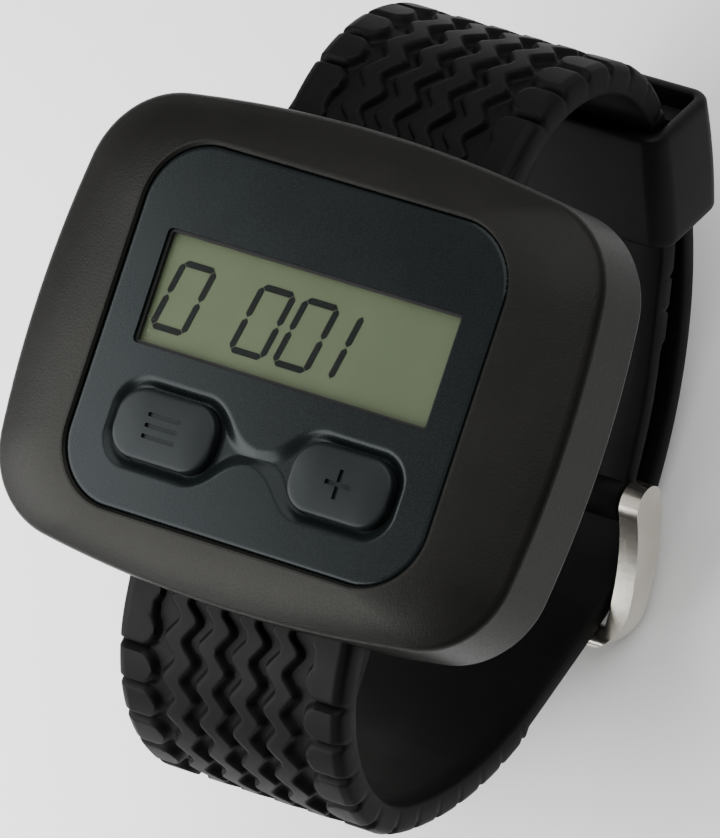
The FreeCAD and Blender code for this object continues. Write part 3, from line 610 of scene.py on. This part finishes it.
def build_straps():
    """Both halves; the upper one ends in two eyes on the buckle's pin."""
    eyes = [eye_points(PIVOT[0], PIVOT[1], PIVOT_EYE, SLOT_HALF, STRAP_HALF),
            eye_points(PIVOT[0], PIVOT[1], PIVOT_EYE, -STRAP_HALF, -SLOT_HALF)]
    top = build_strap("strap_upper", TOP_START, TOP_PATH, 1, TOP_TREAD_LENGTH, "strap_top", top_tools, eyes)
    bottom = build_strap("strap_lower", BOTTOM_START, BOTTOM_PATH, -1, BOTTOM_TREAD_LENGTH, "strap_bottom",
                         bottom_tools, [])
    return [top, bottom]


# ---------------------------------------------------------------- keeper

def build_keeper():
    """Sleeve swept from its wall's section, with soft ends and a slightly crowned outside."""
    w = KEEPER_WALL
    half = KEEPER_LENGTH / 2
    soft = KEEPER_SOFT
    profile = []
    for k in range(17):
        a = -half + soft + (KEEPER_LENGTH - 2 * soft) * k / 16
        profile.append((-KEEPER_CROWN * (a / half) ** 2, a))
    profile += [(-KEEPER_LIP - soft * (1 - math.cos(t)), half - soft + soft * math.sin(t))
                for t in (0.5, 1.0, 1.57)]
    profile += [(-w + soft * 0.6 * (1 - math.sin(t)), half - soft * 0.6 + soft * 0.6 * math.cos(t))
                for t in (0.2, 0.8, 1.57)]
    profile += [(-w, half * k / 4) for k in (3, 2, 1, 0, -1, -2, -3)]
    profile += [(-w + soft * 0.6 * (1 - math.sin(t)), -half + soft * 0.6 - soft * 0.6 * math.cos(t))
                for t in (1.57, 0.8, 0.2)]
    profile += [(-KEEPER_LIP - soft * (1 - math.cos(t)), -half + soft - soft * math.sin(t))
                for t in (1.57, 1.0, 0.5)]
    turn = math.radians(KEEPER_ANGLE)
    rings = []
    for offset, along in profile:
        size = (KEEPER_HALF[0] + offset, KEEPER_HALF[1] + offset)
        ring = []
        for x, v in rounded_rectangle(size, max(KEEPER_RADIUS + offset, 0.5), 10):
            y = along * math.cos(turn) - v * math.sin(turn)
            z = along * math.sin(turn) + v * math.cos(turn)
            ring.append((x, KEEPER_CENTRE[0] + y, KEEPER_CENTRE[1] + z))
        rings.append(ring)
    points, faces = join_rings(rings, True)
    keeper = add_mesh("keeper_sleeve", points, faces, "keeper_loop", 60)
    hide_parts("keeper")
    return keeper


# ---------------------------------------------------------------- materials

# Metal is brushed along X: noise is finer across it
BRUSH_STRETCH = (1.0, 14.0, 14.0)


class Paint:
    """Small helper that adds linked shader nodes to one material."""

    def __init__(self, name):
        self.material = bpy.data.materials.new(name)
        self.material.use_nodes = True
        self.tree = self.material.node_tree
        self.surface = self.tree.nodes["Principled BSDF"]
        self.coordinates = self.tree.nodes.new("ShaderNodeTexCoord")

    def link(self, a, b):
        self.tree.links.new(a, b)

    def stretched(self, scale):
        mapping = self.tree.nodes.new("ShaderNodeMapping")
        mapping.inputs["Scale"].default_value = scale
        self.link(self.coordinates.outputs["Object"], mapping.inputs["Vector"])
        return mapping.outputs["Vector"]

    def noise(self, scale, detail=3.0, roughness=0.55, place=None):
        texture = self.tree.nodes.new("ShaderNodeTexNoise")
        texture.inputs["Scale"].default_value = scale
        texture.inputs["Detail"].default_value = detail
        texture.inputs["Roughness"].default_value = roughness
        self.link(place or self.coordinates.outputs["Object"], texture.inputs["Vector"])
        return texture.outputs["Fac"]

    def ramp(self, value, stops):
        ramp = self.tree.nodes.new("ShaderNodeValToRGB")
        elements = ramp.color_ramp.elements
        while len(elements) < len(stops):
            elements.new(0.5)
        for element, (place, colour) in zip(elements, stops):
            element.position = place
            element.color = (*colour, 1) if len(colour) == 3 else colour
        self.link(value, ramp.inputs["Fac"])
        return ramp.outputs["Color"]

    def colour(self, value, dark, light, low=0.35, high=0.65):
        self.link(self.ramp(value, [(low, dark), (high, light)]), self.surface.inputs["Base Color"])

    def rough(self, value, low, high):
        spread = self.tree.nodes.new("ShaderNodeMapRange")
        spread.inputs["From Min"].default_value = 0.3
        spread.inputs["From Max"].default_value = 0.7
        spread.inputs["To Min"].default_value = low
        spread.inputs["To Max"].default_value = high
        self.link(value, spread.inputs["Value"])
        self.link(spread.outputs["Result"], self.surface.inputs["Roughness"])

    def bump(self, value, height, strength=1.0, below=None):
        node = self.tree.nodes.new("ShaderNodeBump")
        node.inputs["Strength"].default_value = strength
        node.inputs["Distance"].default_value = height
        self.link(value, node.inputs["Height"])
        if below:
            self.link(below, node.inputs["Normal"])
        self.link(node.outputs["Normal"], self.surface.inputs["Normal"])
        return node.outputs["Normal"]

    def set(self, **values):
        for key, value in values.items():
            self.surface.inputs[key.replace("_", " ")].default_value = value


def grained_plastic(name, dark, light, rough, grain, depth, sheen=0.5, tint=(1.0, 1.0, 1.0)):
    """Moulded plastic with spark grain, faint mottling and slightly uneven gloss."""
    paint = Paint(name)
    fine = paint.noise(1 / grain, 2.0, 0.6)
    broad = paint.noise(140.0, 4.0, 0.6)
    paint.colour(broad, dark, light)
    paint.rough(fine, *rough)
    paint.bump(fine, depth)
    paint.set(Specular_IOR_Level=sheen, Specular_Tint=(*tint, 1.0))
    return paint.material


def rubber(name, dark, light, rough, depth=0.000012, sheen=0.07):
    """Moulded rubber: fine tooth, cloudy bloom and soft gloss."""
    paint = Paint(name)
    fine = paint.noise(5200.0, 3.0, 0.65)
    bloom = paint.noise(260.0, 5.0, 0.65)
    paint.colour(bloom, dark, light, 0.3, 0.7)
    paint.rough(bloom, *rough)
    paint.bump(fine, depth)
    paint.set(Specular_IOR_Level=sheen)
    return paint.material


def metal(name, dark, light, rough, depth=0.000004):
    """Metal with lines along one direction, faint stains and fine scratches."""
    paint = Paint(name)
    lines = paint.noise(900.0, 4.0, 0.7, paint.stretched(BRUSH_STRETCH))
    stains = paint.noise(180.0, 3.0, 0.5)
    paint.colour(stains, dark, light)
    paint.rough(lines, *rough)
    paint.bump(lines, depth)
    paint.set(Metallic=1.0)
    return paint.material


def clear_pane(name, tint, alpha, rough):
    """Thin clear pane: mostly see-through, with smudges that vary its gloss."""
    paint = Paint(name)
    smudge = paint.noise(220.0, 4.0, 0.6)
    paint.colour(smudge, tint, tuple(min(1.0, 1.1 * c) for c in tint))
    paint.rough(smudge, *rough)
    paint.set(Alpha=alpha, Specular_IOR_Level=0.12)
    return paint.material


def board_paint():
    """Green solder resist with copper tracks showing through as lighter stripes."""
    paint = Paint("board_resist")
    wave = paint.tree.nodes.new("ShaderNodeTexWave")
    wave.inputs["Scale"].default_value = 190.0
    wave.inputs["Distortion"].default_value = 6.0
    paint.link(paint.coordinates.outputs["Object"], wave.inputs["Vector"])
    paint.colour(wave.outputs["Fac"], (0.01, 0.07, 0.03), (0.03, 0.16, 0.06), 0.45, 0.6)
    paint.rough(paint.noise(900.0), 0.25, 0.4)
    paint.bump(wave.outputs["Fac"], 0.00003)
    return paint.material


MATERIALS = {
    "case_plastic": grained_plastic(
        "case_grain", (0.0040, 0.0039, 0.0036), (0.0056, 0.0054, 0.0050),
        rough=(0.36, 0.46), grain=0.00022, depth=0.00002, sheen=0.12, tint=(1.0, 1.0, 0.92)),
    "panel_plastic": grained_plastic(
        "panel_satin", (0.0028, 0.0038, 0.0042), (0.0038, 0.0050, 0.0054),
        rough=(0.24, 0.30), grain=0.00016, depth=0.000003, sheen=0.15, tint=(0.88, 0.98, 1.0)),
    "button_plastic": grained_plastic(
        "key_satin", (0.0062, 0.0074, 0.0080), (0.0086, 0.0100, 0.0106),
        rough=(0.30, 0.38), grain=0.00020, depth=0.000005, sheen=0.12, tint=(0.89, 0.98, 1.0)),
    "frame_plastic": grained_plastic(
        "gasket_black", (0.003, 0.003, 0.003), (0.005, 0.005, 0.005),
        rough=(0.5, 0.6), grain=0.0002, depth=0.00001, sheen=0.2),
    "switch_plastic": grained_plastic(
        "switch_black", (0.015, 0.015, 0.016), (0.03, 0.03, 0.03),
        rough=(0.4, 0.5), grain=0.0002, depth=0.00001),
    "chassis_plastic": grained_plastic(
        "chassis_grey", (0.42, 0.42, 0.39), (0.52, 0.52, 0.48),
        rough=(0.45, 0.6), grain=0.0003, depth=0.00002),
    "epoxy": grained_plastic(
        "chip_epoxy", (0.01, 0.01, 0.01), (0.022, 0.02, 0.02),
        rough=(0.12, 0.25), grain=0.0006, depth=0.00002),
    "chip_ceramic": grained_plastic(
        "capacitor_body", (0.36, 0.26, 0.16), (0.46, 0.35, 0.22),
        rough=(0.3, 0.5), grain=0.0002, depth=0.00001),
    "elastomer": rubber("zebra_strip", (0.55, 0.53, 0.48), (0.68, 0.66, 0.6), (0.5, 0.6)),
    "gasket_rubber": rubber("seal_rubber", (0.012, 0.012, 0.012), (0.024, 0.024, 0.024), (0.5, 0.65)),
    "strap_rubber": rubber(
        "strap_rubber", (0.0024, 0.0025, 0.0024), (0.0036, 0.0037, 0.0035), (0.48, 0.60)),
    "keeper_rubber": rubber(
        "keeper_rubber", (0.0036, 0.0037, 0.0035), (0.0054, 0.0055, 0.0052), (0.38, 0.48)),
    "buckle_steel": metal("buckle_satin", (0.60, 0.565, 0.50), (0.70, 0.67, 0.60), (0.20, 0.28), 0.0000008),
    "steel": metal("plain_steel", (0.48, 0.48, 0.47), (0.62, 0.61, 0.60), (0.22, 0.38)),
    "contact_brass": metal("contact_gold", (0.62, 0.46, 0.18), (0.76, 0.58, 0.26), (0.2, 0.35)),
    "window": clear_pane("window_pane", (0.02, 0.022, 0.02), 0.06, (0.03, 0.06)),
    "lcd_glass": grained_plastic(
        "lcd_polariser", (0.074, 0.092, 0.053), (0.081, 0.100, 0.058),
        rough=(0.34, 0.42), grain=0.0012, depth=0.000001, sheen=0.08),
    "lcd_back": grained_plastic(
        "lcd_reflector", (0.20, 0.23, 0.15), (0.24, 0.27, 0.18),
        rough=(0.5, 0.6), grain=0.0004, depth=0.00001),
    "lcd_ink": grained_plastic(
        "lcd_ink", (0.004, 0.005, 0.005), (0.006, 0.008, 0.007),
        rough=(0.35, 0.45), grain=0.0004, depth=0.000001, sheen=0.06),
    "board": board_paint(),
}


def finish_piece(piece, slot):
    piece.data.materials.clear()
    piece.data.materials.append(MATERIALS[slot])


def finish_nodes():
    """Every CAD node that stays gets its slot's material, and small bevels where it shows."""
    for part in frame["record"]["subparts"]:
        name = part["node"]
        piece = nodes[name]
        for place in piece.material_slots:
            place.material = MATERIALS[part["material_slot"]]
    for name, width in BEVELS.items():
        bevel = nodes[name].modifiers.new("soft_edges", "BEVEL")
        bevel.width = width * MM
        bevel.segments = 3
        bevel.limit_method = "ANGLE"
        bevel.angle_limit = math.radians(34)
        bevel.harden_normals = True


# ---------------------------------------------------------------- scene

def add_camera():
    """Long lens at the viewing angle of the reference."""
    back = BACK.normalized()
    right = UP.cross(back).normalized()
    up = back.cross(right)
    data = bpy.data.cameras.new("camera")
    data.lens = CAMERA_LENS
    data.sensor_width = 36.0
    data.clip_end = 20.0
    camera = bpy.data.objects.new("camera", data)
    bpy.context.scene.collection.objects.link(camera)
    turn = Matrix((right, up, back)).transposed().to_4x4()
    camera.matrix_world = Matrix.Translation(TARGET + back * CAMERA_DISTANCE) @ turn
    bpy.context.scene.camera = camera


def area_light(name, place, aim, size, power):
    """White rectangular softbox that lights the object but is not seen itself."""
    data = bpy.data.lights.new(name, "AREA")
    data.shape = "RECTANGLE"
    data.size = size[0]
    data.size_y = size[1]
    data.energy = power
    light = bpy.data.objects.new(name, data)
    bpy.context.scene.collection.objects.link(light)
    light.location = place
    light.visible_camera = False
    light.rotation_euler = (Vector(aim) - Vector(place)).to_track_quat("-Z", "Y").to_euler()


def add_floor():
    """Large pale floor at the lowest point of the object."""
    low = cad_box[0][2] / MM
    points = [(-4000, -4000, low), (4000, -4000, low), (4000, 4000, low), (-4000, 4000, low)]
    floor = add_mesh("floor", points, [(0, 1, 2, 3)], None)
    paint = Paint("floor_paper")
    paint.colour(paint.noise(3.0), (0.86, 0.86, 0.86), (0.88, 0.88, 0.88))
    paint.rough(paint.noise(40.0), 0.85, 0.95)
    floor.data.materials.append(paint.material)


def add_studio():
    """Even pale surroundings, a near softbox at the left and a wide one above the top."""
    world = bpy.data.worlds.new("studio")
    world.use_nodes = True
    world.node_tree.nodes["Background"].inputs["Color"].default_value = (1, 1, 1, 1)
    world.node_tree.nodes["Background"].inputs["Strength"].default_value = 0.32
    bpy.context.scene.world = world
    area_light("key", (-0.100, -0.082, 0.085), (-0.050, -0.050, 0.01), (0.19, 0.15), 0.76)
    area_light("top", (0.15, 0.75, 1.0), (0, 0, 0), (1.5, 1.5), 22.0)


finish_nodes()
finish_piece(build_panel(), "panel_plastic")
finish_piece(build_key("mode", -BUTTON_X), "button_plastic")
finish_piece(build_key("count", BUTTON_X), "button_plastic")
for strap in build_straps():
    finish_piece(strap, "strap_rubber")
finish_piece(build_keeper(), "keeper_rubber")
add_floor()
add_camera()
add_studio()
